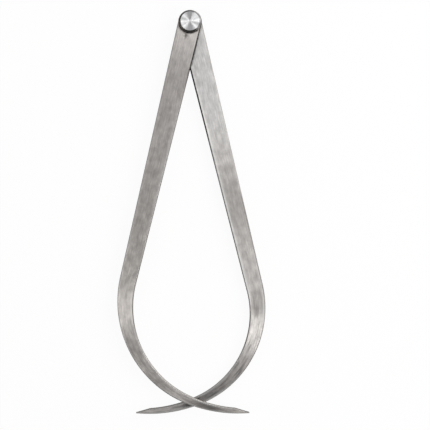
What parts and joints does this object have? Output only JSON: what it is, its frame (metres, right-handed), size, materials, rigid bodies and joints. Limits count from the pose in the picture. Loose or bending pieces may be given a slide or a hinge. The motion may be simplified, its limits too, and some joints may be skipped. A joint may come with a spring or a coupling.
{
  "type": "firm joint outside caliper",
  "caption": "Outside caliper with bowed flat steel legs that cross at the tips and turn on a friction stud, so they stay at any opening.",
  "frame": {"origin": "on the pivot axis, at the rear face of the joint, where the nut's face and the stud's end lie flush", "axes": "+Z along the pivot axis towards the turned head; the legs hang towards -Y; +X is to the right when the head faces the viewer"},
  "size_m": [0.11, 0.3001, 0.0155],
  "materials": {
    "leg_steel": "satin, finely scratched along each leg",
    "turned_steel": "bright turned face with circular tool marks",
    "bronze": "flat bronze, oiled",
    "washer_steel": "stamped steel",
    "spring_steel": "dark tempered spring steel",
    "nut_steel": "turned steel"
  },
  "bodies": {
    "rear_leg": {"rear_leg": "leg_steel", "joint_stud": "turned_steel", "head_washer": "bronze", "centre_washer": "bronze", "rear_washer": "washer_steel", "disc_spring": "spring_steel", "tension_nut": "nut_steel"},
    "front_leg": {"front_leg": "leg_steel"}
  },
  "joints": [
    {"name": "firm_joint", "type": "hinge", "parent": "rear_leg", "child": "front_leg", "pos_m": [0, 0, 0.0104], "axis": [0, 0, -1], "continuous": true}
  ]
}
